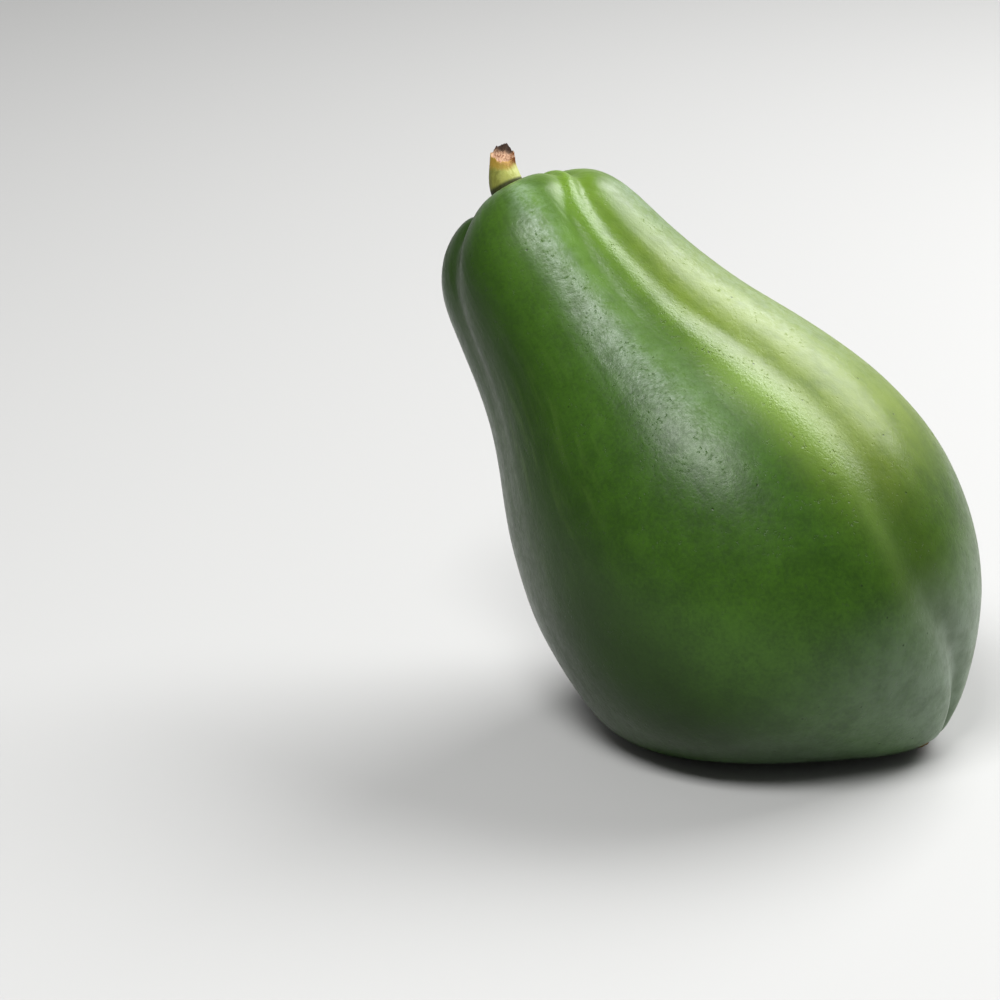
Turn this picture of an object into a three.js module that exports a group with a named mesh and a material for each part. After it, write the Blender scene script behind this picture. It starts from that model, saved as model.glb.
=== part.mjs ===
// A green papaya standing on the small flat spot beside its blossom end, leaning to the left.
// It has two pieces: the fruit, one solid of skin and flesh, and the broken stub of its stem.
// Millimetres, +Z up, with the best side facing -Y.
import * as THREE from "three";

// How the fruit stands
const viewTilt = 20; // degrees: the side that faces the eye is turned up by this
const leanLeft = 32.7; // degrees of the stem end to the left
const leanBack = 3; // degrees of the stem end away from the eye
const restDepth = 12; // how far the round underside would reach below the ground
const restBlend = 9; // height over which the flat spot runs into the round skin

// Outline of the fruit, pulled through these points as a smooth curve:
// distance below the crown, radius, and shift of the ring's centre to the right
const outline = [
  [6.4, 0.0, -2.7], // floor of the stem hollow
  [6.2, 5.8, -2.7],
  [-0.4, 10.0, -2.7], // crown
  [-0.3, 17.1, -3.0],
  [5.6, 26.6, -3.2], // shoulder
  [16.0, 32.3, -3.5],
  [32.0, 35.1, -3.1], // neck
  [56.0, 40.8, -1.6],
  [79.0, 52.7, -1.2],
  [103.0, 61.6, -0.5],
  [128.0, 64.8, 0.3], // belly
  [152.0, 61.9, -0.6],
  [172.5, 51.6, 1.2],
  [189.5, 29.4, 8.2], // blossom end, which points a little to the right
  [201.8, 10.0, 12.5],
];
const crownSlope = 0.045; // the crown is lower on its right side
const crownSaddle = 0.07; // and lower on both sides than at the front and back
const crownReach = 14; // distance down the fruit at which both have died away

// Furrows between the lobes, by their angle from the front, positive to the right.
// drift turns a furrow by that angle between two distances below the crown, curl swings it round
// near the stem, hook turns it on over the blossom end, and depth is given at the stem end, the
// middle and the blossom end.
const furrows = [
  { angle: 12.5, drift: 3.5, from: 60, to: 95, curl: 42, curlLength: 12, width: 6.5, depth: [1.7, 0.45, 0] },
  { angle: 32, drift: 5.5, from: 55, to: 78, curl: 50, curlLength: 8.5, width: 8, depth: [2.9, 1.4, 2.8], hook: 20 },
  { angle: -70, drift: 0, from: 0, to: 1, curl: 20, curlLength: 14, width: 10, depth: [3.4, 1, 2] },
  { angle: 115, drift: 0, from: 0, to: 1, curl: 30, curlLength: 12, width: 10, depth: [3.2, 1.4, 2.2] },
  { angle: 178, drift: 0, from: 0, to: 1, curl: 20, curlLength: 12, width: 10, depth: [3.6, 1.2, 2.2] },
  { angle: -125, drift: 0, from: 0, to: 1, curl: 20, curlLength: 12, width: 10, depth: [3.4, 1.3, 2.2] },
];
const hookFrom = 150; // distances below the crown between which a furrow takes its hook
const hookTo = 194;
// The narrow ridge that runs between the first two furrows
const ridge = { angle: 25, drift: 5, from: 75, to: 110, curl: 40, curlLength: 8, width: 7, height: 0.45 };
// The lobe on the right, which is flatter towards the blossom end than the others
const flatLobe = { angle: 92, drift: 0, from: 0, to: 1, curl: 0, curlLength: 1, width: 34, depth: 1 };

// Stem stub and the socket that its root sits in
const stemRadius = 5.1;
const stemTopRadius = 3.6;
const stemRootDepth = 10.2; // distance of the root's end below the crown
const socketGap = 0.3;
const stemPath = [
  [-2.7, stemRootDepth],
  [-2.7, 3.5],
  [-1.2, -4.6],
  [3.3, -10.4],
]; // shift to the right and distance below the crown: out of the hollow, then bent upright
const breakSlant = 2.9; // the broken face drops towards the eye by this each side of its middle
const breakSides = 0.6; // and its left and right edges are lower by this, which leaves a peak behind
const breakDepth = 1.6; // hollow of the torn face

const fruitSides = 96;
const fruitRings = 60;
const stemSides = 28;
const stemRings = 12;

const fruitSkin = new THREE.MeshStandardMaterial({ color: 0x3f7a24, roughness: 0.42, metalness: 0 });
const stemBark = new THREE.MeshStandardMaterial({ color: 0x8f9636, roughness: 0.7, metalness: 0 });

// The fruit's own frame has x to the front, y to the right and z up its axis.
// Standing turns that frame into the pose it rests in.
const standing = new THREE.Matrix4()
  .makeRotationX(THREE.MathUtils.degToRad(-viewTilt))
  .multiply(new THREE.Matrix4().makeRotationY(THREE.MathUtils.degToRad(-leanLeft)))
  .multiply(new THREE.Matrix4().makeRotationX(THREE.MathUtils.degToRad(-leanBack)))
  .multiply(new THREE.Matrix4().makeRotationZ(-Math.PI / 2));

function smoothStep(x, from, to) {
  return THREE.MathUtils.smoothstep(x, from, to);
}

function bell(x, width) {
  return Math.exp(-((x / width) ** 2));
}

// A sharp-bottomed groove with long flanks, 1 deep at its middle
function groove(x, width) {
  const rounding = 0.35;
  return Math.exp(rounding - Math.hypot(x / width, rounding));
}

// The control points go on past both poles as their own mirror image, which rounds the ends
function mirrored([below, radius, shift]) {
  return [below, -radius, shift];
}

const controls = [mirrored(outline[1]), ...outline, mirrored(outline.at(-1)), mirrored(outline.at(-2))];
const outlineEnd = outline.length - 0.5;

// Point and direction of the outline at parameter v, from 0 in the hollow to outlineEnd at the tip
function outlineAt(v) {
  const span = Math.min(Math.floor(v), controls.length - 4);
  const f = v - span;
  const weights = [
    (1 - f) ** 3 / 6,
    (3 * f ** 3 - 6 * f ** 2 + 4) / 6,
    (-3 * f ** 3 + 3 * f ** 2 + 3 * f + 1) / 6,
    f ** 3 / 6,
  ];
  const slopes = [-((1 - f) ** 2) / 2, (3 * f ** 2 - 4 * f) / 2, (-3 * f ** 2 + 2 * f + 1) / 2, f ** 2 / 2];
  const blend = (factors, column) =>
    factors.reduce((sum, factor, i) => sum + factor * controls[span + i][column], 0);
  const length = Math.hypot(blend(slopes, 0), blend(slopes, 1));
  return {
    below: blend(weights, 0),
    radius: blend(weights, 1),
    shift: blend(weights, 2),
    belowStep: blend(slopes, 0) / length,
    radiusStep: blend(slopes, 1) / length,
  };
}

// Degrees between an angle round the fruit and a furrow or ridge
function degreesFrom(line, degrees, below) {
  const hooked = (line.hook ?? 0) * smoothStep(below, hookFrom, hookTo);
  const turned = line.angle + line.drift * smoothStep(below, line.from, line.to) + hooked;
  const swung = turned + line.curl * Math.exp(-Math.max(below, 0) / line.curlLength);
  return THREE.MathUtils.euclideanModulo(degrees - swung + 180, 360) - 180;
}

// Height of the skin over the plain outline
function relief(degrees, { below, radius }) {
  const fruitLength = outline.at(-1)[0];
  const along = Math.max(below, 0) / fruitLength;
  const nearStem = Math.exp(-((along / 0.19) ** 1.5));
  const nearMiddle = bell(along - 0.5, 0.28);
  const nearBlossom = smoothStep(along, 0.6, 0.95);
  let height = ridge.height * bell(degreesFrom(ridge, degrees, below), ridge.width);
  height -= flatLobe.depth * nearBlossom * bell(degreesFrom(flatLobe, degrees, below), flatLobe.width);
  for (const furrow of furrows) {
    const [stem, middle, blossom] = furrow.depth;
    const depth = stem * nearStem + middle * nearMiddle + blossom * nearBlossom;
    height -= depth * groove(degreesFrom(furrow, degrees, below), furrow.width);
  }
  const fade = along < 0.5 ? smoothStep(radius, 4, 12) : smoothStep(radius, 0, 16);
  return height * fade;
}

// A point of the skin in the fruit's own frame
function skinPoint(station, degrees) {
  const turn = THREE.MathUtils.degToRad(degrees);
  const height = relief(degrees, station);
  const radius = station.radius + height * station.belowStep;
  const side = Math.sin(turn);
  const dip = (crownSlope * side + crownSaddle * side ** 2) * Math.exp(-Math.max(station.below, 0) / crownReach);
  const below = station.below - height * station.radiusStep + radius * dip;
  return new THREE.Vector3(radius * Math.cos(turn), radius * Math.sin(turn) + station.shift, -below);
}

function ring(sides, pointAt) {
  return Array.from({ length: sides }, (_, i) => pointAt((360 * i) / sides));
}

function centreOf(points) {
  const sum = points.reduce((total, point) => total.add(point), new THREE.Vector3());
  return sum.divideScalar(points.length);
}

// Skins rings of equal count, listed from the top down, and closes both ends with a fan
function closedLoft(rings) {
  const sides = rings[0].length;
  const points = [...rings.flat(), centreOf(rings[0]), centreOf(rings.at(-1))];
  const top = points.length - 2;
  const bottom = points.length - 1;
  const lastRing = (rings.length - 1) * sides;
  const faces = [];
  for (let side = 0; side < sides; side++) {
    const next = (side + 1) % sides;
    faces.push(top, side, next);
    for (let start = 0; start < lastRing; start += sides) {
      const below = start + sides;
      faces.push(start + side, below + side, start + next);
      faces.push(start + next, below + side, below + next);
    }
    faces.push(bottom, lastRing + next, lastRing + side);
  }
  const geometry = new THREE.BufferGeometry().setFromPoints(points);
  geometry.setIndex(faces);
  geometry.computeVertexNormals();
  return geometry;
}

// Round socket in the hollow's floor, then the skin from its rim to the blossom end
function fruitRingsOfPoints() {
  const socketRadius = stemRadius + socketGap;
  const floor = outlineAt(0);
  const socketRing = (below) =>
    ring(fruitSides, (degrees) =>
      skinPoint({ ...floor, below, radius: socketRadius, belowStep: 0, radiusStep: 0 }, degrees),
    );
  const skin = [];
  for (let i = 0; i < fruitRings; i++) {
    const station = outlineAt((outlineEnd * (i + 0.5)) / fruitRings);
    if (station.radius > socketRadius + 0.5) {
      skin.push(ring(fruitSides, (degrees) => skinPoint(station, degrees)));
    }
  }
  return [socketRing(stemRootDepth + socketGap + 0.5), socketRing(floor.below), ...skin];
}

// Height above the ground after the underside has been pressed flat, with a soft edge
function pressedHeight(height) {
  if (height <= -restBlend) return 0;
  if (height >= restBlend) return height;
  return (height + restBlend) ** 2 / (4 * restBlend);
}

// The stem's centre line, from the root to the broken top
const stemLine = new THREE.CubicBezierCurve3(
  ...stemPath.map(([right, below]) => new THREE.Vector3(0, right, -below)),
);

// Slightly ribbed ring of the stem at a fraction of its length, with the top sheared and ragged
function stemRing(fraction, scale, sink = 0) {
  const centre = stemLine.getPoint(fraction);
  const forward = stemLine.getTangent(fraction);
  const front = new THREE.Vector3(1, 0, 0);
  const right = new THREE.Vector3().crossVectors(forward, front).normalize();
  const nearTop = smoothStep(fraction, 0.6, 1);
  return ring(stemSides, (degrees) => {
    const turn = THREE.MathUtils.degToRad(degrees);
    const ribs = 1 + 0.03 * nearTop * Math.cos(5 * turn + 0.6);
    const narrowing = THREE.MathUtils.lerp(stemRadius, stemTopRadius, smoothStep(fraction, 0.5, 1));
    const radius = narrowing * ribs * scale;
    const ragged = 0.25 * Math.sin(7 * turn) - 0.35 * Math.cos(3 * turn);
    const peak = -breakSlant * Math.cos(turn) - breakSides * Math.abs(Math.sin(turn));
    const rise = nearTop * scale * (ragged + peak) - sink;
    return centre
      .clone()
      .addScaledVector(front, radius * Math.cos(turn))
      .addScaledVector(right, radius * Math.sin(turn))
      .addScaledVector(forward, rise);
  });
}

function stemRingsOfPoints() {
  const tornFace = [stemRing(1, 0.3, breakDepth), stemRing(1, 0.7, 0.7 * breakDepth), stemRing(1, 0.9, 0.1)];
  const bark = [];
  for (let i = stemRings; i >= 0; i--) bark.push(stemRing(i / stemRings, 1));
  return [...tornFace, ...bark];
}

// Stands the rings up, with the ground at zero, and presses the underside flat
const fruitStanding = fruitRingsOfPoints().map((points) => points.map((p) => p.applyMatrix4(standing)));
const stemStanding = stemRingsOfPoints().map((points) => points.map((p) => p.applyMatrix4(standing)));
const lowest = Math.min(...fruitStanding.flat().map((point) => point.z));
const extent = new THREE.Box3().setFromPoints([...fruitStanding.flat(), ...stemStanding.flat()]);
const middle = extent.getCenter(new THREE.Vector3());

for (const point of stemStanding.flat()) {
  point.set(point.x - middle.x, point.y - middle.y, point.z - lowest - restDepth);
}
for (const point of fruitStanding.flat()) {
  const height = pressedHeight(point.z - lowest - restDepth);
  point.set(point.x - middle.x, point.y - middle.y, height);
}

const fruit = new THREE.Mesh(closedLoft(fruitStanding), fruitSkin);
fruit.name = "fruit";

const stem = new THREE.Mesh(closedLoft(stemStanding), stemBark);
stem.name = "stem";

const papaya = new THREE.Group();
papaya.name = "papaya";
papaya.add(fruit, stem);

export default papaya;
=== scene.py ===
import math
from types import SimpleNamespace

import bpy
from mathutils import Matrix, Vector, noise


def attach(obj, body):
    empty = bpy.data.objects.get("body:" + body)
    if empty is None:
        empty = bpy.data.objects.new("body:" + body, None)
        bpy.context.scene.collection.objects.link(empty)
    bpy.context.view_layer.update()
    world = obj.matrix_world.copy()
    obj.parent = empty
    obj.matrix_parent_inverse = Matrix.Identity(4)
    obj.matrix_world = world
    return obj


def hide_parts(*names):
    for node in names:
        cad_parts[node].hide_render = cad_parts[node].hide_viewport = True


# The looks of one green papaya that stands on its flat spot: skin, stem stub, torn fibres and
# blossom scar. Sizes in the dictionaries are millimetres, and the meshes come out in metres.
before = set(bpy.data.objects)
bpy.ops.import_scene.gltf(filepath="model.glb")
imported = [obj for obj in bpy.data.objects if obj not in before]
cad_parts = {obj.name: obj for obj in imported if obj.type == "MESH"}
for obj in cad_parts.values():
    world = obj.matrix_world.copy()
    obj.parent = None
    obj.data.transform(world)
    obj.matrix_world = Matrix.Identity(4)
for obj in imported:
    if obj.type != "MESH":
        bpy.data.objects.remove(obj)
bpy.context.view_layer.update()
print("frame loaded")

millimetre = 0.001

# How the fruit stands. These turns and this shift belong to the solid model too.
standing = {
    "viewTilt": 20,
    "leanLeft": 32.7,
    "leanBack": 3,
    "shift": (-57.169, 42.646, 149.964),
    "restBlend": 9,  # height over which the flat spot runs into the round skin
}
fruitTurn = (
    Matrix.Rotation(math.radians(-standing["viewTilt"]), 4, "X")
    @ Matrix.Rotation(math.radians(-standing["leanLeft"]), 4, "Y")
    @ Matrix.Rotation(math.radians(-standing["leanBack"]), 4, "X")
    @ Matrix.Rotation(math.radians(-90), 4, "Z")
)


def linear(hexText):  # a screen colour as the shader wants it
    parts = [int(hexText[i : i + 2], 16) / 255 for i in (0, 2, 4)]
    return (*[p / 12.92 if p < 0.04045 else ((p + 0.055) / 1.055) ** 2.4 for p in parts], 1)


def stood(point):  # from the fruit's own frame to the place where it stands, in metres
    return (fruitTurn @ Vector(point) + Vector(standing["shift"])) * millimetre


class Wire:  # one socket of a tree, so that maths on sockets reads as plain Python
    def __init__(self, bench, socket):
        self.bench = bench
        self.socket = socket

    def maths(self, operation, *others):
        sockets = dict(enumerate((self, *others)))
        return self.bench.node("ShaderNodeMath", {"operation": operation}, sockets)

    def flipped(self, operation, other):
        return self.bench.node("ShaderNodeMath", {"operation": operation}, {0: other, 1: self})

    def __add__(self, other):
        return self.maths("ADD", other)

    def __sub__(self, other):
        return self.maths("SUBTRACT", other)

    def __rsub__(self, other):
        return self.flipped("SUBTRACT", other)

    def __mul__(self, other):
        return self.maths("MULTIPLY", other)

    def __truediv__(self, other):
        return self.maths("DIVIDE", other)

    def __rtruediv__(self, other):
        return self.flipped("DIVIDE", other)

    def __pow__(self, other):
        return self.maths("POWER", other)

    def __neg__(self):
        return self.maths("MULTIPLY", -1)

    __radd__ = __add__
    __rmul__ = __mul__


class Bench:  # a node tree and the one way that nodes get into it
    def __init__(self, tree):
        self.tree = tree

    def node(self, kind, settings=None, sockets=None, out=0):
        made = self.tree.nodes.new(kind)
        for name, value in (settings or {}).items():
            setattr(made, name, value)
        for key, value in (sockets or {}).items():
            socket = self.pick(made.inputs, key)
            if isinstance(value, Wire):
                self.tree.links.new(value.socket, socket)
            else:
                socket.default_value = value
        return Wire(self, self.pick(made.outputs, out)) if len(made.outputs) else None

    def pick(self, sockets, key):
        if isinstance(key, int):
            return sockets[key]
        return next(s for s in sockets if s.name == key and s.enabled)

    def also(self, wire, out):  # another output of the node that a wire comes from
        return Wire(self, self.pick(wire.socket.node.outputs, out))

    def smooth(self, value, low, high, start=0.0, end=1.0):
        sockets = {"Value": value, "From Min": low, "From Max": high, "To Min": start, "To Max": end}
        return self.node("ShaderNodeMapRange", {"interpolation_type": "SMOOTHSTEP"}, sockets, "Result")

    def mixed(self, factor, first, second):
        sockets = {"Factor": factor, "A": first, "B": second}
        return self.node("ShaderNodeMix", {"data_type": "RGBA"}, sockets, "Result")

    def vector(self, x, y, z):
        return self.node("ShaderNodeCombineXYZ", {}, {0: x, 1: y, 2: z})

    def split(self, vector):
        x = self.node("ShaderNodeSeparateXYZ", {}, {0: vector})
        return x, self.also(x, 1), self.also(x, 2)

    def vectorMaths(self, operation, sockets, out=0):
        return self.node("ShaderNodeVectorMath", {"operation": operation}, sockets, out)

    def scaled(self, vector, factor):
        return self.vectorMaths("SCALE", {"Vector": vector, "Scale": factor})

    def noise(self, vector, scale, detail=2.0, roughness=0.5):
        sockets = {"Vector": vector, "Scale": scale, "Detail": detail, "Roughness": roughness}
        return self.node("ShaderNodeTexNoise", {}, sockets, 0)

    def attribute(self, name, out="Fac"):
        return self.node("ShaderNodeAttribute", {"attribute_name": name}, {}, out)


def geometryTree(name, inputs):
    tree = bpy.data.node_groups.new(name, "GeometryNodeTree")
    for label, (kind, _) in inputs.items():
        tree.interface.new_socket(label, in_out="INPUT", socket_type=kind)
    tree.interface.new_socket("Mesh", in_out="OUTPUT", socket_type="NodeSocketGeometry")
    bench = Bench(tree)
    entry = tree.nodes.new("NodeGroupInput")
    wires = {label: Wire(bench, bench.pick(entry.outputs, label)) for label in inputs}
    return bench, wires


def closeTree(bench, mesh, material):
    solid = bench.node("GeometryNodeRealizeInstances", {}, {"Geometry": mesh})
    dressed = bench.node("GeometryNodeSetMaterial", {}, {"Geometry": solid, "Material": material})
    bench.node("NodeGroupOutput", {}, {0: dressed})


def grown(name, bench, values):  # runs a tree and keeps its result as a plain mesh
    host = bpy.data.objects.new(name, bpy.data.meshes.new(name))
    bpy.context.scene.collection.objects.link(host)
    modifier = host.modifiers.new("Growth", "NODES")
    modifier.node_group = bench.tree
    for item in bench.tree.interface.items_tree:
        if item.in_out == "INPUT":
            modifier[item.identifier] = values[item.name]
    ready = bpy.context.evaluated_depsgraph_get()
    mesh = bpy.data.meshes.new_from_object(host.evaluated_get(ready))
    host.modifiers.remove(modifier)
    host.data = mesh
    mesh.name = name
    return host


def plainMesh(name, points, faces):
    mesh = bpy.data.meshes.new(name)
    mesh.from_pydata([tuple(p) for p in points], [], faces)
    mesh.validate()
    mesh.update()
    for polygon in mesh.polygons:
        polygon.use_smooth = True
    return mesh


def closedLoft(name, rings, attributes):  # skins equal rings from the top down and closes both ends
    sides = len(rings[0])
    points = [p for ring in rings for p in ring]
    points += [sum(ring, Vector()) / sides for ring in (rings[0], rings[-1])]
    top, bottom = len(points) - 2, len(points) - 1
    last = (len(rings) - 1) * sides
    faces = []
    for i in range(sides):
        j = (i + 1) % sides
        faces.append((top, i, j))
        faces.append((bottom, last + j, last + i))
        for row in range(0, last, sides):
            faces.append((row + i, row + sides + i, row + sides + j, row + j))
    mesh = plainMesh(name, points, faces)
    for label, values in attributes.items():
        layer = mesh.attributes.new(label, "FLOAT", "POINT")
        layer.data.foreach_set("value", values + [values[0], values[-1]])
    return mesh


def placed(name, mesh, material):
    piece = bpy.data.objects.new(name, mesh)
    bpy.context.scene.collection.objects.link(piece)
    mesh.materials.append(material)
    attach(piece, "root")
    return piece


def newMaterial(name):
    material = bpy.data.materials.new(name)
    material.use_nodes = True
    material.node_tree.nodes.clear()
    return material, Bench(material.node_tree)


def finishMaterial(bench, sockets):
    surface = bench.node("ShaderNodeBsdfPrincipled", {}, sockets)
    bench.node("ShaderNodeOutputMaterial", {}, {"Surface": surface})


def bumped(bench, relief):  # relief is in millimetres
    return bench.node("ShaderNodeBump", {}, {"Strength": 1.0, "Distance": millimetre, "Height": relief})


# The fruit. A line that runs down its skin has an angle from the front, a drift between two
# distances below the crown, a curl near the stem and how far down that reaches, and a width.
fruitShape = {
    "sides": 330,
    "rings": 290,
    # distance below the crown, radius, and shift of the ring's centre to the right
    "outline": [
        (6.4, 0.0, -2.7),
        (6.2, 5.8, -2.7),
        (-0.4, 10.0, -2.7),
        (-0.3, 17.1, -3.0),
        (5.6, 26.6, -3.2),
        (16.0, 32.3, -3.5),
        (32.0, 35.1, -3.1),
        (56.0, 40.8, -1.6),
        (79.0, 52.7, -1.2),
        (103.0, 61.6, -0.5),
        (128.0, 64.8, 0.3),
        (152.0, 61.9, -0.6),
        (172.5, 51.6, 1.2),
        (189.5, 29.4, 8.2),
        (201.8, 10.0, 12.5),
    ],
    "crownSlope": 0.045,  # the crown is lower on its right side
    "crownSaddle": 0.07,  # and lower on both sides than at the front and back
    "crownReach": 14.0,
    # between the lobes, with their depth at the stem end, the middle and the blossom end
    "furrows": [
        {
            "angle": 12.5,
            "drift": 3.5,
            "span": (60, 95),
            "curl": (42, 12),
            "width": 6,
            "depth": (1.6, 0.45, 0),
        },
        {
            "angle": 32,
            "drift": 5.5,
            "span": (55, 78),
            "curl": (50, 8.5),
            "width": 7.5,
            "depth": (2.9, 2.2, 2.8),
            "hook": 20,
        },
        {"angle": -70, "curl": (20, 14), "width": 10, "depth": (3.4, 0.6, 2)},
        {"angle": 115, "curl": (30, 12), "width": 10, "depth": (3.2, 1.4, 2.2)},
        {"angle": 178, "curl": (20, 12), "width": 10, "depth": (3.6, 1.2, 2.2)},
        {"angle": -125, "curl": (20, 12), "width": 10, "depth": (3.4, 1.3, 2.2)},
    ],
    # as shares of the length: how fast the stem end's part of a furrow dies away and how steeply,
    # the middle part's place and width, and where the blossom end's part comes in
    "furrowStem": (0.19, 1.5),
    "furrowMiddle": (0.5, 0.28),
    "furrowBlossom": (0.6, 0.95),
    "furrowRounding": 0.6,
    "hookSpan": (164, 200),  # where a furrow bends on over the blossom end
    "stemFade": (4, 12),  # radius over which the furrows run out round the stem
    "tipFade": (0, 16),  # and round the tip
    "ridge": {
        "angle": 25,
        "drift": 5,
        "span": (75, 110),
        "curl": (40, 8),
        "width": 7,
        "height": 0.45,
        "swell": (92, 24),  # where it stands highest, and over how long
        "fade": (0.55, 0.72),  # share of the length
        "faded": 0.9,  # share of its height that it loses there
    },
    "flatLobe": {"angle": 92, "width": 34, "depth": 1},
    "waveHeight": 0.3,  # slow unevenness of the skin
    "waveSize": 26.0,
    "streakHeight": 0.16,  # lengthwise ripples
    "streakSize": (9, 34),  # ripples round the fruit, and their length
    "streakFade": (0.25, 0.5),  # share of the length over which they die away
    "streakFaded": 0.85,
    "calmPole": (6, 26),  # radius over which waves and ripples come in
    "tipDimple": 0.9,
    "dimpleWidth": 5.5,
}


def outlineControls():  # the outline goes on past both poles as its own mirror image
    points = fruitShape["outline"]
    mirrored = [(below, -radius, shift) for below, radius, shift in points]
    return [mirrored[1], *points, mirrored[-1], mirrored[-2]]


def outlineStation(bench, outlinePoints, v):  # where a ring lies, and which way the outline runs
    span = v.maths("FLOOR").maths("MINIMUM", len(outlineControls()) - 4)
    f = v - span
    weights = [
        (1 - f) ** 3 / 6,
        (3 * f**3 - 6 * f**2 + 4) / 6,
        (3 * f**2 + 3 * f + 1 - 3 * f**3) / 6,
        f**3 / 6,
    ]
    slopes = [(1 - f) ** 2 / -2, (3 * f**2 - 4 * f) / 2, (2 * f + 1 - 3 * f**2) / 2, f**2 / 2]
    place = bench.node("GeometryNodeInputPosition")
    at = direction = (0, 0, 0)
    for step, (weight, slope) in enumerate(zip(weights, slopes)):
        settings = {"data_type": "FLOAT_VECTOR", "domain": "POINT"}
        sockets = {"Geometry": outlinePoints, "Value": place, "Index": span + step}
        control = bench.node("GeometryNodeSampleIndex", settings, sockets, "Value")
        at = bench.vectorMaths("ADD", {0: bench.scaled(control, weight), 1: at})
        direction = bench.vectorMaths("ADD", {0: bench.scaled(control, slope), 1: direction})
    below, radius, shift = bench.split(at)
    belowStep, radiusStep, _ = bench.split(direction)
    length = (belowStep**2 + radiusStep**2).maths("SQRT")
    return below, radius, shift, belowStep / length, radiusStep / length


def skinStation(bench, outline):  # where each point of the plain ball belongs on the fruit
    x, y, z = bench.split(bench.node("GeometryNodeInputPosition"))
    turn = y.maths("ARCTAN2", x)
    cosine, sine = turn.maths("COSINE"), turn.maths("SINE")
    down = z.maths("MINIMUM", 1).maths("MAXIMUM", -1).maths("ARCCOSINE") / math.pi
    v = down * (len(fruitShape["outline"]) - 0.5)
    below, radius, shift, belowStep, radiusStep = outlineStation(bench, outline, v)
    fruitLength = fruitShape["outline"][-1][0]
    around, lengthwise = fruitShape["streakSize"]
    return SimpleNamespace(
        turn=turn,
        degrees=turn * math.degrees(1),
        cosine=cosine,
        sine=sine,
        below=below,
        along=below.maths("MAXIMUM", 0) / fruitLength,
        radius=radius,
        shift=shift,
        belowStep=belowStep,
        radiusStep=radiusStep,
        drawn=bench.vector(cosine * around, sine * around, below / lengthwise),
    )


def bell(value, width):
    return (-((value / width) ** 2)).maths("EXPONENT")


def groove(value, width):  # sharp bottom and long flanks, 1 deep at its middle
    rounding = fruitShape["furrowRounding"]
    slant = ((value / width) ** 2 + rounding**2).maths("SQRT")
    return (rounding - slant).maths("EXPONENT")


def degreesFrom(bench, line, at):  # wrapped angle from a line that runs down the skin
    swung = at.degrees - line["angle"]
    if "drift" in line:
        swung = swung - line["drift"] * bench.smooth(at.below, *line["span"])
    if "hook" in line:
        swung = swung - line["hook"] * bench.smooth(at.below, *fruitShape["hookSpan"])
    if "curl" in line:
        swing, reach = line["curl"]
        swung = swung - swing * (at.below.maths("MAXIMUM", 0) / -reach).maths("EXPONENT")
    return swung.maths("WRAP", 180, -180)


def onLine(bench, line, at):  # 1 on such a line, fading off to both sides
    return bell(degreesFrom(bench, line, at), line["width"])


def nearBlossom(bench, at):
    return bench.smooth(at.along, *fruitShape["furrowBlossom"])


def furrowDepth(bench, at):
    reach, steepness = fruitShape["furrowStem"]
    middlePlace, middleWidth = fruitShape["furrowMiddle"]
    nearStem = (-((at.along / reach) ** steepness)).maths("EXPONENT")
    nearMiddle = bell(at.along - middlePlace, middleWidth)
    nearTip = nearBlossom(bench, at)
    valley = 0
    for furrow in fruitShape["furrows"]:
        stem, middle, blossom = furrow["depth"]
        depth = nearStem * stem + nearMiddle * middle + nearTip * blossom
        valley = depth * groove(degreesFrom(bench, furrow, at), furrow["width"]) + valley
    return valley


def ridgeCrest(bench, at):
    ridge = fruitShape["ridge"]
    highest, swellLength = ridge["swell"]
    crest = onLine(bench, ridge, at) * (1 + bell(at.below - highest, swellLength))
    return crest * (1 - bench.smooth(at.along, *ridge["fade"]) * ridge["faded"])


def skinHeight(bench, given, at):  # how far the skin stands off its plain outline
    flatLobe = fruitShape["flatLobe"]
    flat = onLine(bench, flatLobe, at) * nearBlossom(bench, at) * flatLobe["depth"]
    # the furrows end before the poles, sooner at the stem
    upper = at.along.maths("LESS_THAN", 0.5)
    fade = upper * bench.smooth(at.radius, *fruitShape["stemFade"])
    fade = fade + (1 - upper) * bench.smooth(at.radius, *fruitShape["tipFade"])
    height = (at.crest * given["Ridge Height"] - flat - at.valley) * fade
    plain = bench.vector(at.radius * at.cosine, at.radius * at.sine, at.below)
    wave = bench.noise(bench.scaled(plain, 1 / given["Wave Size"]), 1.0, 1.0) - 0.5
    wave = wave * 2 * given["Wave Height"]
    streak = (bench.noise(at.drawn, 1.0, 2.0) - 0.5) * 2 * given["Streak Height"]
    faded = bench.smooth(at.along, *fruitShape["streakFade"]) * fruitShape["streakFaded"]
    streak = streak * (1 - faded)
    dimple = (1 - upper) * given["Tip Dimple"] * bell(at.radius, fruitShape["dimpleWidth"])
    return height + (wave + streak) * bench.smooth(at.radius, *fruitShape["calmPole"]) - dimple


def reaching(bench, below, tint):  # 1 between where a tint has come and where it starts to go
    reach = 1
    if "rise" in tint:
        reach = bench.smooth(below, *tint["rise"])
    if "fall" in tint:
        reach = (1 - bench.smooth(below, *tint["fall"])) * reach
    return reach


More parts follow.
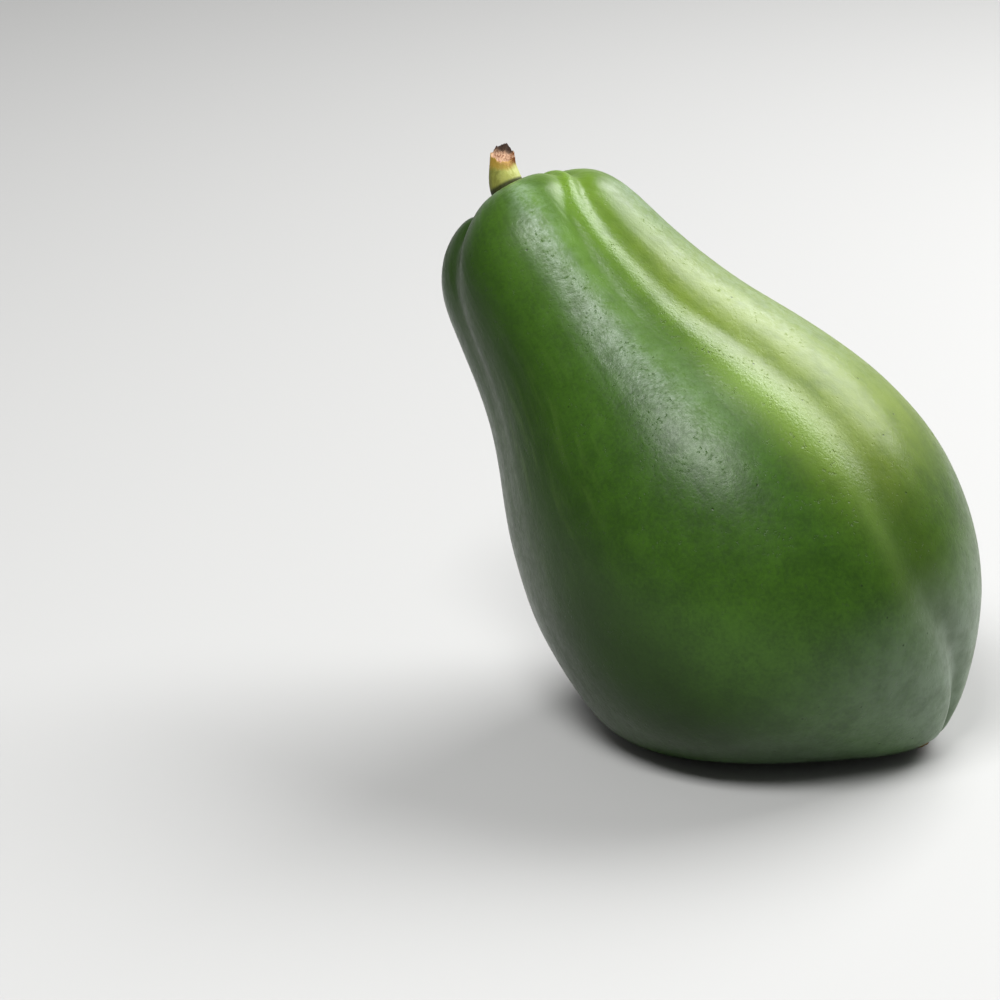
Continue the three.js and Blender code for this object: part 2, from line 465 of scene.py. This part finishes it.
def colourMasks(bench, at):  # what the skin's colours follow, stored on its points by name
    bloom = 0
    comes, goes = skinLook["bandEnds"]
    for band in skinLook["bands"]:
        first, last = band["reach"]
        ends = {"rise": (first, first + comes), "fall": (last - goes, last)}
        patch = onLine(bench, band, at) * reaching(bench, at.below, ends)
        bloom = patch.maths("MAXIMUM", bloom)
    dustAndSheen = skinLook["tipDustAndSheen"]
    lifted = at.below + onLine(bench, dustAndSheen["lobe"], at) * dustAndSheen["lobe"]["lift"]
    sided = dustAndSheen["elsewhere"] + (1 - dustAndSheen["elsewhere"]) * onLine(bench, dustAndSheen, at)
    seam = skinLook["tints"]["seam"]
    beside = degreesFrom(bench, fruitShape["furrows"][1], at) + seam["beside"]
    return {
        "below": at.below,
        "valley": at.valley,
        "crest": at.crest,
        "bloom": bloom,
        # how far the skin faces the lit side; the painted light and shade follow it
        "sunny": (at.turn - math.radians(skinLook["litSide"])).maths("COSINE"),
        "blossom": bench.smooth(lifted, *dustAndSheen["span"]) * sided,
        "seam": bell(beside, seam["width"]) * reaching(bench, at.below, seam),
    }


def stored(bench, mesh, kind, values):
    settings = {"data_type": kind, "domain": "POINT"}
    for name, value in values.items():
        sockets = {"Geometry": mesh, "Name": name, "Value": value}
        mesh = bench.node("GeometryNodeStoreNamedAttribute", settings, sockets)
    return mesh


def standUp(bench, mesh, given):  # from the fruit's own frame to its stand, pressed flat underneath
    blend = given["Rest Blend"]
    sockets = {"Translation": standing["shift"], "Rotation": tuple(fruitTurn.to_euler())}
    mesh = bench.node("GeometryNodeTransform", {}, {"Geometry": mesh, **sockets})
    x, y, z = bench.split(bench.node("GeometryNodeInputPosition"))
    rise = (z + blend).maths("MAXIMUM", 0).maths("MINIMUM", 2 * blend)
    flattened = rise**2 / (4 * blend) + (z - blend).maths("MAXIMUM", 0)
    sockets = {"Geometry": mesh, "Position": bench.vector(x, y, flattened)}
    mesh = bench.node("GeometryNodeSetPosition", {}, sockets)
    return bench.node("GeometryNodeTransform", {}, {"Geometry": mesh, "Scale": (millimetre,) * 3})


skinInputs = {
    "Outline": ("NodeSocketObject", None),
    "Sides": ("NodeSocketInt", fruitShape["sides"]),
    "Rings": ("NodeSocketInt", fruitShape["rings"]),
    "Crown Slope": ("NodeSocketFloat", fruitShape["crownSlope"]),
    "Crown Saddle": ("NodeSocketFloat", fruitShape["crownSaddle"]),
    "Crown Reach": ("NodeSocketFloat", fruitShape["crownReach"]),
    "Ridge Height": ("NodeSocketFloat", fruitShape["ridge"]["height"]),
    "Wave Height": ("NodeSocketFloat", fruitShape["waveHeight"]),
    "Wave Size": ("NodeSocketFloat", fruitShape["waveSize"]),
    "Streak Height": ("NodeSocketFloat", fruitShape["streakHeight"]),
    "Tip Dimple": ("NodeSocketFloat", fruitShape["tipDimple"]),
    "Rest Blend": ("NodeSocketFloat", float(standing["restBlend"])),
    "Skin": ("NodeSocketMaterial", None),
}


def skinTree():
    bench, given = geometryTree("papayaSkinGrowth", skinInputs)
    sockets = {"Segments": given["Sides"], "Rings": given["Rings"], "Radius": 1.0}
    ball = bench.node("GeometryNodeMeshUVSphere", {}, sockets, "Mesh")
    sockets = {"Object": given["Outline"]}
    outline = bench.node("GeometryNodeObjectInfo", {"transform_space": "ORIGINAL"}, sockets, "Geometry")
    at = skinStation(bench, outline)
    at.valley = furrowDepth(bench, at)
    at.crest = ridgeCrest(bench, at)
    mesh = stored(bench, ball, "FLOAT", colourMasks(bench, at))
    mesh = stored(bench, mesh, "FLOAT_VECTOR", {"drawn": at.drawn})

    height = skinHeight(bench, given, at)
    wide = at.radius + height * at.belowStep
    dip = given["Crown Slope"] * at.sine + given["Crown Saddle"] * at.sine**2
    dip = dip * wide * (at.below.maths("MAXIMUM", 0) / -given["Crown Reach"]).maths("EXPONENT")
    low = at.below - height * at.radiusStep + dip
    skin = bench.vector(wide * at.cosine, wide * at.sine + at.shift, -low)
    mesh = bench.node("GeometryNodeSetPosition", {}, {"Geometry": mesh, "Position": skin})
    mesh = standUp(bench, mesh, given)
    mesh = bench.node("GeometryNodeSetShadeSmooth", {}, {"Geometry": mesh, "Shade Smooth": True})
    closeTree(bench, mesh, given["Skin"])
    return bench


skinLook = {
    "shade": "1b3009",
    "deep": "284411",
    "green": "395c17",
    "fresh": "5b8026",  # painted light: lit green round the stem and in the furrow beside the waxy front
    # painted light: the lit side, yellower
    "litYellow": "74872c",
    # pale green: real drips, and painted highlight along a furrow's flank and on the ridge crest
    "pale": "7c9a4c",
    # whitish wax, which also carries painted highlight and painted reflection
    "bloom": "99ab99",
    "speck": "1a2c0a",
    "litSide": 70,  # degrees round from the front to the side that the painted light falls on
    "roughness": 0.36,
    "gloss": 0.25,
    # repeats per millimetre of the skin's clouds, patches, speckles, grain and pores
    "clouds": 0.03,
    "patches": 0.13,
    "speckles": 0.32,
    "grain": 0.9,
    "pores": 0.17,
    "poreShare": 0.5,
    "streaks": 2.2,  # finer than the ripples by this much
    "wax": 0.32,
    "crackle": 0.12,  # height of the fine crackle in the waxy skin
    # broad waxy patches on the backs of the lobes, with painted highlight laid in them, and over how much
    # length they come and go
    "bands": [
        {"angle": 2, "drift": 8, "span": (55, 95), "curl": (9, 14), "width": 8.5, "reach": (-3, 114)},
        {"angle": 70, "curl": (10, 14), "width": 13, "reach": (10, 120)},
        {"angle": 147, "curl": (10, 14), "width": 12, "reach": (8, 125)},
        {"angle": -153, "curl": (10, 14), "width": 12, "reach": (8, 105)},
        {"angle": -97, "curl": (10, 14), "width": 11, "reach": (8, 118)},
    ],
    "bandEnds": (8, 45),
    # where a tint comes and goes, in millimetres below the crown, and how strong it is
    "tints": {
        "furrowShade": {"rise": (95, 125), "strength": 0.6},  # painted shade in the lower furrows
        "drips": {"rise": (35, 60), "fall": (75, 120), "strength": 0.05},
        # painted highlight on the ridge crest
        "ridge": {"rise": (60, 90), "fall": (105, 130), "strength": 0.4},
        # painted highlight along the lit flank of the lower furrow
        "seam": {"rise": (100, 125), "fall": (135, 180), "strength": 0.22, "beside": 7, "width": 3.5},
        # painted light round the stem on the lit side
        "stemEnd": {"fall": (4, 85), "strength": 1},
        "front": {"fall": (80, 115), "strength": 0.45},  # painted light: lit green in the furrow beside the waxy front
        # painted light on the lit side
        "litYellow": {"rise": (10, 65), "strength": 0.65},
        "lowerSide": {"rise": (108, 148), "strength": 0.85},  # where the painted light on the lit side gives way
        # painted highlight: thicker wax near the crown
        "crownWaxAndSheen": {"fall": (12, 40), "strength": 0.2},
    },
    # whitish dust and a painted reflection of the floor over the blossom end, which reaches further up on
    # one lobe
    "tipDustAndSheen": {
        "angle": 48,
        "width": 38,
        "span": (155, 192),
        "elsewhere": 0.3,  # share of it on the other sides
        "strength": 0.6,
        "lobe": {"angle": 64, "width": 20, "lift": 8},
    },
}


def tinted(bench, on, name):
    tint = skinLook["tints"][name]
    return reaching(bench, on.below, tint) * tint["strength"]


def washed(bench, amount, base, name):  # lays one of the skin's colours over what is there
    return bench.mixed(amount, base, linear(skinLook[name]))


def skinPatterns(bench):  # what the mesh stores on the skin, and the noises over it
    local = bench.scaled(bench.node("ShaderNodeTexCoord", {}, {}, "Object"), 1000.0)  # millimetres
    drawn = bench.attribute("drawn", "Vector")
    return SimpleNamespace(
        below=bench.attribute("below"),
        valley=bench.attribute("valley"),
        crest=bench.attribute("crest"),
        bloom=bench.attribute("bloom"),
        sunny=bench.attribute("sunny"),
        blossom=bench.attribute("blossom"),
        seam=bench.attribute("seam"),
        local=local,
        cloudy=bench.noise(local, skinLook["clouds"], 2.0),
        patchy=bench.noise(local, skinLook["patches"], 4.0, 0.6),
        speckled=bench.noise(local, skinLook["speckles"], 3.0, 0.65),
        streaky=bench.noise(bench.scaled(drawn, skinLook["streaks"]), 1.0, 3.0, 0.5),
        grainy=bench.noise(local, skinLook["grain"], 3.0, 0.6),
    )


def greenTones(bench, on):  # deep and middle green, with painted shade on the side away from the lights and in the furrows
    tone = on.cloudy * 0.25 + on.patchy * 0.3 + on.streaky * 0.1 + on.grainy * 0.35
    deep, green = linear(skinLook["deep"]), linear(skinLook["green"])
    base = bench.mixed(bench.smooth(tone, 0.34, 0.66), deep, green)
    # painted shade: the side turned away from the lights goes darker
    base = washed(bench, bench.smooth(on.sunny, 0.1, -0.5) * 0.8, base, "shade")
    # painted shade in the furrows of the lower half
    furrowShade = tinted(bench, on, "furrowShade") * bench.smooth(on.valley, 0.5, 1.6)
    base = washed(bench, furrowShade, base, "deep")
    drips = tinted(bench, on, "drips") * bench.smooth(on.streaky, 0.48, 0.7)
    drips = drips * bench.smooth(on.sunny, 0.2, -0.2)
    # painted highlight along the furrow's flank and on the ridge crest, over the real drips
    pale = drips + on.seam * skinLook["tints"]["seam"]["strength"] + on.crest * tinted(bench, on, "ridge")
    return washed(bench, pale, base, "pale")


def litGreenTones(bench, on, base):  # painted light: lit green round the stem and beside the waxy front, and a yellower lit side
    uneven = bench.smooth(on.patchy * 0.7 + on.streaky * 0.3, 0.25, 0.6)
    nearStem = tinted(bench, on, "stemEnd") * bench.smooth(on.sunny, -0.3, 0.5)
    # painted light and painted highlight: lighter green round the stem, in its furrows and on the ridge
    # crest
    fresh = nearStem * (0.35 + 0.35 * bench.smooth(on.valley, 0.1, 1.3) + on.crest * 0.2) + on.crest * 0.15
    fresh = fresh + tinted(bench, on, "front") * bell(on.sunny - 0.5, 0.1)
    base = washed(bench, fresh * (0.6 + 0.4 * uneven), base, "fresh")
    # painted light: the side facing the lights turns yellower
    litYellow = bench.smooth(on.sunny, 0.55, 0.96) * (1 - tinted(bench, on, "lowerSide"))
    litYellow = litYellow * (0.35 + tinted(bench, on, "litYellow"))
    return washed(bench, litYellow * (0.5 + 0.35 * uneven), base, "litYellow")


def waxed(bench, on, base, mottle):  # whitish wax with painted highlight, broken up into fine crackle, and the whitish dust and painted reflection over the tip
    # painted highlight in the waxy patches
    wax = on.bloom * (0.15 + 0.85 * mottle)
    thick = skinLook["wax"] + tinted(bench, on, "crownWaxAndSheen")
    base = washed(bench, wax * thick, base, "bloom")
    # whitish dust and painted reflection over the blossom end
    dustAndSheenAmount = on.blossom * (0.6 + 0.4 * bench.smooth(on.patchy * 0.7 + on.speckled * 0.3, 0.36, 0.64))
    return washed(bench, dustAndSheenAmount * skinLook["tipDustAndSheen"]["strength"], base, "bloom")


def darkPores(bench, on):
    sockets = {"Vector": on.local, "Scale": skinLook["pores"]}
    cells = bench.node("ShaderNodeTexVoronoi", {"feature": "F1"}, sockets, "Distance")
    chosen = bench.split(bench.also(cells, "Color"))[0].maths("GREATER_THAN", 1 - skinLook["poreShare"])
    return (1 - bench.smooth(cells, 0.025, 0.08)) * chosen


def skinMaterial():
    material, bench = newMaterial("papayaSkin")
    on = skinPatterns(bench)
    mottle = bench.smooth(on.grainy * 0.3 + on.speckled * 0.5 + on.patchy * 0.2, 0.36, 0.62)
    specks = darkPores(bench, on)
    base = litGreenTones(bench, on, greenTones(bench, on))
    base = washed(bench, specks * 0.8, waxed(bench, on, base, mottle), "speck")

    roughness = skinLook["roughness"] + (0.5 - mottle) * 0.1 + (on.patchy - 0.5) * 0.1
    pits = bench.smooth(on.grainy, 0.4, 0.3) * bench.smooth(on.patchy, 0.5, 0.6)
    waxy = 0.3 + 0.7 * on.bloom.maths("MAXIMUM", on.crest)
    relief = (on.grainy * 1.4 - pits * 1.5) * skinLook["crackle"] * waxy
    relief = relief + on.streaky * 0.05 + on.patchy * 0.12 - specks * 0.05
    sockets = {"Base Color": base, "Roughness": roughness, "Normal": bumped(bench, relief)}
    finishMaterial(bench, {**sockets, "Specular IOR Level": skinLook["gloss"]})
    return material


def makeFruit():
    outlinePoints = plainMesh("outlinePoints", outlineControls(), [])
    outline = bpy.data.objects.new("outlinePoints", outlinePoints)
    bpy.context.scene.collection.objects.link(outline)
    values = {label: value for label, (_, value) in skinInputs.items()}
    fruit = grown("papayaFruit", skinTree(), {**values, "Outline": outline, "Skin": skinMaterial()})
    bpy.data.objects.remove(outline)
    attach(fruit, "root")
    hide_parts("fruit")


# The broken stem
stemShape = {
    "radius": 5.1,
    "topRadius": 3.6,
    "path": [(-2.7, 10.2), (-2.7, 3.5), (-1.2, -4.6), (3.3, -10.4)],  # right, below the crown
    "breakSlant": 2.9,  # the broken face drops towards the eye
    "breakSides": 0.6,
    "breakDepth": 1.6,
    "sides": 120,
    "rings": 70,
    "barkRelief": 0.1,
    "barkSizes": (5.5, 12),  # coarse and fine unevenness round the stem
    "ribs": 5,
    "ribHeight": 0.03,  # share of the radius
    "taperFrom": 0.5,  # shares of the height where it starts to taper, and where the break shows
    "breakFrom": 0.6,
    "rimTeeth": 0.25,
    "rimLobes": 0.35,
    "rimRoughness": 0.45,
    "rimSize": 7,
    # the torn face from its middle out: size, depth and roughness
    "tornSteps": [
        (0.12, 0.95, 1.6),
        (0.3, 0.9, 1.6),
        (0.5, 0.75, 1.5),
        (0.68, 0.6, 1.3),
        (0.8, 0.42, 1.1),
        (0.88, 0.2, 1),
        (0.94, 0.05, 1),
        (0.975, -0.02, 1),
    ],
}


def stemLine(fraction):  # point and direction on the stem's bent centre line
    a, b, c, d = [Vector((0, right, -below)) for right, below in stemShape["path"]]
    t, s = fraction, 1 - fraction
    point = a * s**3 + b * 3 * s * s * t + c * 3 * s * t * t + d * t**3
    ahead = (b - a) * s * s + (c - b) * 2 * s * t + (d - c) * t * t
    return point, ahead.normalized()


def easeStep(x, low, high):
    t = min(max((x - low) / (high - low), 0), 1)
    return t * t * (3 - 2 * t)


def stemRing(fraction, scale, sink, rough):
    centre, ahead = stemLine(fraction)
    front = Vector((1, 0, 0))
    right = ahead.cross(front).normalized()
    nearTop = easeStep(fraction, stemShape["breakFrom"], 1)
    ease = easeStep(fraction, stemShape["taperFrom"], 1)
    plainRadius = stemShape["radius"] * (1 - ease) + stemShape["topRadius"] * ease
    coarse, fine = stemShape["barkSizes"]
    points = []
    for i in range(stemShape["sides"]):
        turn = 2 * math.pi * i / stemShape["sides"]
        around = Vector((math.cos(turn), math.sin(turn), 0))
        bark = noise.noise(around * coarse + Vector((0, 0, fraction * 1.7)))
        bark += 0.5 * noise.noise(around * fine + Vector((7, 0, fraction * 4)))
        ribs = 1 + stemShape["ribHeight"] * nearTop * math.cos(stemShape["ribs"] * turn + 0.6)
        radius = (plainRadius * ribs + stemShape["barkRelief"] * bark) * scale
        ragged = stemShape["rimTeeth"] * math.sin(7 * turn) - stemShape["rimLobes"] * math.cos(3 * turn)
        ragged += rough * noise.noise(around * stemShape["rimSize"] + Vector((0, 3, scale * 2)))
        peak = -stemShape["breakSlant"] * around.x - stemShape["breakSides"] * abs(around.y)
        rise = nearTop * scale * (ragged + peak) - sink
        points.append(stood(centre + front * radius * around.x + right * radius * around.y + ahead * rise))
    return points


def stemMesh():
    rings, climb, torn, reach = [], [], [], []
    for scale, sunk, rugged in stemShape["tornSteps"]:
        rough = stemShape["rimRoughness"] * rugged
        rings.append(stemRing(1, scale, sunk * stemShape["breakDepth"], rough))
        climb.append(1)
        torn.append(min((1 - scale) / 0.12, 1))
        reach.append(scale)
    for i in range(stemShape["rings"], -1, -1):
        fraction = i / stemShape["rings"]
        rings.append(stemRing(fraction, 1, 0, stemShape["rimRoughness"]))
        climb.append(fraction)
        torn.append(0)
        reach.append(1)
    sides = stemShape["sides"]
    turns = [2 * math.pi * i / sides for i in range(sides)]
    attributes = {
        "climb": [value for value in climb for _ in turns],
        "torn": [value for value in torn for _ in turns],
        "rightward": [math.sin(turn) * value for value in reach for turn in turns],
        "forward": [math.cos(turn) * value for value in reach for turn in turns],
    }
    return closedLoft("stemStub", rings, attributes)


stemLook = {
    "olive": "67692c",
    "bark": "95984b",
    "pale": "c3c785",
    "amber": "9c7a2e",
    "brown": "6b3c16",
    "rim": "1b0f0b",
    "flesh": "c9a588",
    "fleshDark": "7d573e",
    "lip": "d9b06a",
    "shadow": "141a05",
    "roughness": 0.55,
    "gloss": 0.15,
    "blotches": 0.3,  # repeats per millimetre
    "fineGrain": 2.4,
    "grain": (1.6, 1.6, 0.22),
    "root": (0.56, 0.615),  # shares of the stem's height over which the painted shadow at its base fades out
    "stain": (0.78, 0.93),
    "edge": (0.9, 0.99),
}


def stemMaterial():
    material, bench = newMaterial("stemBark")
    place = bench.node("ShaderNodeTexCoord", {}, {}, "Object")
    local = bench.scaled(place, 1000.0)
    climb = bench.attribute("climb")
    torn = bench.attribute("torn")
    rightward = bench.attribute("rightward")
    forward = bench.attribute("forward")
    blotch = bench.noise(local, stemLook["blotches"], 3.0, 0.6)
    fine = bench.noise(local, stemLook["fineGrain"], 3.0, 0.6)
    grain = bench.noise(bench.vectorMaths("MULTIPLY", {0: local, 1: stemLook["grain"]}), 1.0, 3.0, 0.6)

    # painted light: the stem's right side lighter and paler, its left side olive
    across = rightward * 0.5 + (grain - 0.5) * 0.35 + (blotch - 0.5) * 0.6
    lit = bench.smooth(across, -0.5, 0.05)
    bark = bench.mixed(lit, linear(stemLook["olive"]), linear(stemLook["bark"]))
    bark = bench.mixed(bench.smooth(across, 0.1, 0.5) * 0.75, bark, linear(stemLook["pale"]))
    # painted shadow where the stem goes down into the crown
    baseShadow = 1 - bench.smooth(climb - rightward * 0.04, *stemLook["root"])
    bark = bench.mixed(baseShadow * 0.9, bark, linear(stemLook["shadow"]))
    stain = bench.smooth(climb + (blotch - 0.5) * 0.2, *stemLook["stain"])
    bark = bench.mixed(stain * 0.75, bark, linear(stemLook["amber"]))
    uneven = (fine - 0.5) * 0.08 + rightward * 0.07 - forward * 0.04
    edge = bench.smooth(climb + uneven, *stemLook["edge"])
    bark = bench.mixed(edge, bark, linear(stemLook["brown"]))
    front = bench.smooth(forward - rightward * 0.3 + (fine - 0.5) * 0.4, 0.2, 0.8)
    bark = bench.mixed(edge * front * 0.8, bark, linear(stemLook["lip"]))

    strands = bench.smooth(fine * 0.6 + grain * 0.4, 0.35, 0.62)
    inside = bench.mixed(strands, linear(stemLook["fleshDark"]), linear(stemLook["flesh"]))
    burnt = bench.smooth(rightward + (blotch - 0.5) * 0.8, 0.35, 0.8) * 0.85
    inside = bench.mixed(burnt, inside, linear(stemLook["brown"]))
    colour = bench.mixed(bench.smooth(torn, 0.3, 0.8), bark, inside)
    # the far rim has dried black
    charred = bench.smooth((blotch - 0.5) * 0.3 - forward, 0.3, 0.75) * bench.smooth(climb, 0.95, 0.99)
    colour = bench.mixed(charred * 0.93, colour, linear(stemLook["rim"]))
    relief = fine * 0.08 + grain * 0.14
    roughness = stemLook["roughness"] + torn * 0.25 + (fine - 0.5) * 0.15
    sockets = {"Base Color": colour, "Roughness": roughness, "Normal": bumped(bench, relief)}
    finishMaterial(bench, {**sockets, "Specular IOR Level": stemLook["gloss"]})
    return material


# Short fibres that stand out of the torn face
tornFibres = {
    "density": 1.5,  # fibres per square millimetre
    "length": 0.9,
    "shortest": 0.4,  # share of the length
    "width": 0.13,
    "spread": 0.55,
    "farthest": -0.4,  # none stand on the blackened far rim
    "seed": 7,
    "light": "d9b796",
    "dark": "85583c",
    "roughness": 0.7,
}
fibreInputs = {
    "Stem": ("NodeSocketObject", None),
    "Density": ("NodeSocketFloat", tornFibres["density"] / millimetre**2),
    "Length": ("NodeSocketFloat", tornFibres["length"] * millimetre),
    "Width": ("NodeSocketFloat", tornFibres["width"] * millimetre),
    "Spread": ("NodeSocketFloat", tornFibres["spread"]),
    "Seed": ("NodeSocketInt", tornFibres["seed"]),
    "Fibre": ("NodeSocketMaterial", None),
}


def fibreTree():
    bench, given = geometryTree("tornFibreGrowth", fibreInputs)
    sockets = {"Object": given["Stem"]}
    stem = bench.node("GeometryNodeObjectInfo", {"transform_space": "ORIGINAL"}, sockets, "Geometry")
    number = {"data_type": "FLOAT"}
    torn = bench.node("GeometryNodeInputNamedAttribute", number, {"Name": "torn"}, "Attribute")
    forward = bench.node("GeometryNodeInputNamedAttribute", number, {"Name": "forward"}, "Attribute")
    fresh = torn.maths("GREATER_THAN", 0.3) * forward.maths("GREATER_THAN", tornFibres["farthest"])
    sockets = {"Mesh": stem, "Selection": fresh, "Density": given["Density"], "Seed": given["Seed"]}
    points = bench.node("GeometryNodeDistributePointsOnFaces", {}, sockets, "Points")
    sockets = {"Vertices": 5, "Radius Top": 0.25, "Radius Bottom": 1.0, "Depth": 1.0}
    cone = bench.node("GeometryNodeMeshCone", {}, sockets, "Mesh")
    upward = tuple(fruitTurn.to_3x3() @ stemLine(1)[1])
    sockets = {"Min": (-1, -1, -1), "Max": (1, 1, 1), "Seed": given["Seed"]}
    stray = bench.node("FunctionNodeRandomValue", {"data_type": "FLOAT_VECTOR"}, sockets, "Value")
    lean = bench.vectorMaths("ADD", {0: bench.scaled(stray, given["Spread"]), 1: upward})
    turned = bench.node("FunctionNodeAlignRotationToVector", {"axis": "Z"}, {"Vector": lean})
    sockets = {"Min": tornFibres["shortest"], "Max": 1.0, "Seed": given["Seed"] + 1}
    growth = bench.node("FunctionNodeRandomValue", number, sockets, "Value")
    size = bench.vector(given["Width"], given["Width"], given["Length"] * growth)
    sockets = {"Points": points, "Instance": cone, "Rotation": turned, "Scale": size}
    closeTree(bench, bench.node("GeometryNodeInstanceOnPoints", {}, sockets), given["Fibre"])
    return bench


def fibreMaterial():
    material, bench = newMaterial("tornFibre")
    local = bench.scaled(bench.node("ShaderNodeTexCoord", {}, {}, "Object"), 1000.0)
    tone = bench.smooth(bench.noise(local, 1.6, 2.0, 0.6), 0.35, 0.65)
    colour = bench.mixed(tone, linear(tornFibres["dark"]), linear(tornFibres["light"]))
    relief = bench.noise(local, 6.0, 2.0) * 0.03
    sockets = {"Base Color": colour, "Roughness": tornFibres["roughness"], "Normal": bumped(bench, relief)}
    finishMaterial(bench, sockets)
    return material


def makeStem():
    stem = placed("stemStub", stemMesh(), stemMaterial())
    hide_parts("stem")
    values = {label: value for label, (_, value) in fibreInputs.items()}
    fibres = grown("stemFibres", fibreTree(), {**values, "Stem": stem, "Fibre": fibreMaterial()})
    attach(fibres, "root")


# The dry scar of the flower, a small five-lobed button in the dimple at the blossom end
scar = {
    "radius": 3.1,
    "thickness": 0.9,
    "lobes": 5,
    "lobeDepth": 0.16,
    "bumpHeight": 0.12,
    "bumpSize": 3,
    "outward": (0, 0.33, -0.94),  # in the fruit's own frame
    "rootSize": 0.7,  # the last ring, sunk into the skin
    "rootDepth": 1.2,
    "sides": 60,
    "rings": 12,
    "dark": "3a2410",
    "light": "8a6a3a",
    "roughness": 0.75,
}


def pressed(point):  # the same soft press that the skin gets underneath
    blend = standing["restBlend"] * millimetre
    if point.z < blend:
        point.z = max(point.z + blend, 0) ** 2 / (4 * blend)
    return point


def scarRing(reach, sunk=False):
    below, _, shift = fruitShape["outline"][-1]
    tip = Vector((0, shift, fruitShape["tipDimple"] - below))
    outward = Vector(scar["outward"]).normalized()
    side = Vector((1, 0, 0))
    other = outward.cross(side)
    bumps = scar["bumpSize"] * reach
    ring = []
    for i in range(scar["sides"]):
        turn = 2 * math.pi * i / scar["sides"]
        cosine, sine = math.cos(turn), math.sin(turn)
        radius = scar["radius"] * reach * (1 + scar["lobeDepth"] * math.cos(scar["lobes"] * turn))
        dome = scar["thickness"] * (0.35 + 0.65 * math.sin(math.pi * reach**1.6)) * (1 - reach**6)
        bump = scar["bumpHeight"] * noise.noise(Vector((cosine * bumps, sine * bumps, 2)))
        rise = -scar["rootDepth"] if sunk else dome + bump
        ring.append(pressed(stood(tip + side * radius * cosine + other * radius * sine + outward * rise)))
    return ring


def scarMesh():
    reaches = [i / scar["rings"] for i in range(1, scar["rings"] + 1)]
    rings = [scarRing(reach) for reach in reaches]
    rings.append(scarRing(scar["rootSize"], sunk=True))
    reaches.append(scar["rootSize"])
    middle = [1 - reach for reach in reaches for _ in range(scar["sides"])]
    return closedLoft("blossomScar", rings, {"middle": middle})


def scarMaterial():
    material, bench = newMaterial("blossomScar")
    local = bench.scaled(bench.node("ShaderNodeTexCoord", {}, {}, "Object"), 1000.0)
    middle = bench.attribute("middle")
    rough = bench.noise(local, 1.4, 3.0, 0.65)
    tone = bench.smooth(rough + (0.5 - middle) * 0.4, 0.35, 0.75)
    colour = bench.mixed(tone, linear(scar["dark"]), linear(scar["light"]))
    relief = bumped(bench, rough * 0.2)
    finishMaterial(bench, {"Base Color": colour, "Roughness": scar["roughness"], "Normal": relief})
    return material


# Floor, lights and camera
stageLook = {
    "floor": "b4b4b3",
    "floorRoughness": 0.7,
    "floorSize": 8.0,  # metres
    "worldFront": 0.12,  # brightness of the room before the object, and of the wall behind it
    "worldBack": 0.7,
    "worldTop": 0.15,
    "aim": (0, 0, 0.08),  # what the softboxes point at
}
# azimuth in degrees to the right of the camera, elevation, distance and size in metres, watts
softboxes = {
    "backRight": {"azimuth": 134, "elevation": 46, "distance": 1.3, "size": (1.1, 0.8), "power": 27},
    "frontTop": {"azimuth": -27, "elevation": 58, "distance": 1.2, "size": (0.58, 0.36), "power": 15.5},
}
cameraLook = {
    "place": (-0.0609, -1.0282, 0.4431),
    "tilt": 70.0,
    "lens": 136.6,
}


def makeFloor():
    half = stageLook["floorSize"] / 2
    corners = [(-half, -half, 0), (half, -half, 0), (half, half, 0), (-half, half, 0)]
    floor = bpy.data.objects.new("floor", plainMesh("floor", corners, [(0, 1, 2, 3)]))
    bpy.context.scene.collection.objects.link(floor)
    material, bench = newMaterial("paleFloor")
    colour = linear(stageLook["floor"])
    finishMaterial(bench, {"Base Color": colour, "Roughness": stageLook["floorRoughness"]})
    floor.data.materials.append(material)


def makeSoftbox(name, given):
    light = bpy.data.lights.new(name, "AREA")
    light.shape = "RECTANGLE"
    light.size, light.size_y = given["size"]
    light.energy = given["power"]
    lamp = bpy.data.objects.new(name, light)
    bpy.context.scene.collection.objects.link(lamp)
    a, e = math.radians(given["azimuth"]), math.radians(given["elevation"])
    towards = Vector((math.sin(a) * math.cos(e), -math.cos(a) * math.cos(e), math.sin(e)))
    offset = towards * given["distance"]
    lamp.location = Vector(stageLook["aim"]) + offset
    lamp.rotation_euler = offset.to_track_quat("Z", "Y").to_euler()


def makeLights():
    for name, given in softboxes.items():
        makeSoftbox(name, given)
    world = bpy.data.worlds.new("studio")
    bpy.context.scene.world = world
    world.use_nodes = True
    world.node_tree.nodes.clear()
    bench = Bench(world.node_tree)
    _, back, height = bench.split(bench.node("ShaderNodeTexCoord", {}, {}, "Generated"))
    wall = bench.smooth(back, 0.1, 0.7, stageLook["worldFront"], stageLook["worldBack"])
    upward = bench.smooth(height, 0.1, 0.5)
    glow = wall * (1 - upward) + upward * stageLook["worldTop"]
    sky = bench.node("ShaderNodeBackground", {}, {"Color": (1, 1, 1, 1), "Strength": glow})
    bench.node("ShaderNodeOutputWorld", {}, {"Surface": sky})


def makeCamera():
    lens = bpy.data.cameras.new("camera")
    lens.sensor_width = 36
    lens.lens = cameraLook["lens"]
    lens.clip_end = 50
    camera = bpy.data.objects.new("camera", lens)
    bpy.context.scene.collection.objects.link(camera)
    camera.location = cameraLook["place"]
    camera.rotation_euler = (math.radians(cameraLook["tilt"]), 0, 0)
    bpy.context.scene.camera = camera


makeFruit()
print("fruit made")
makeStem()
placed("blossomScar", scarMesh(), scarMaterial())
print("stem and blossom scar made")
makeFloor()
makeLights()
makeCamera()
bpy.context.scene.view_settings.view_transform = "Standard"
print("stage set")
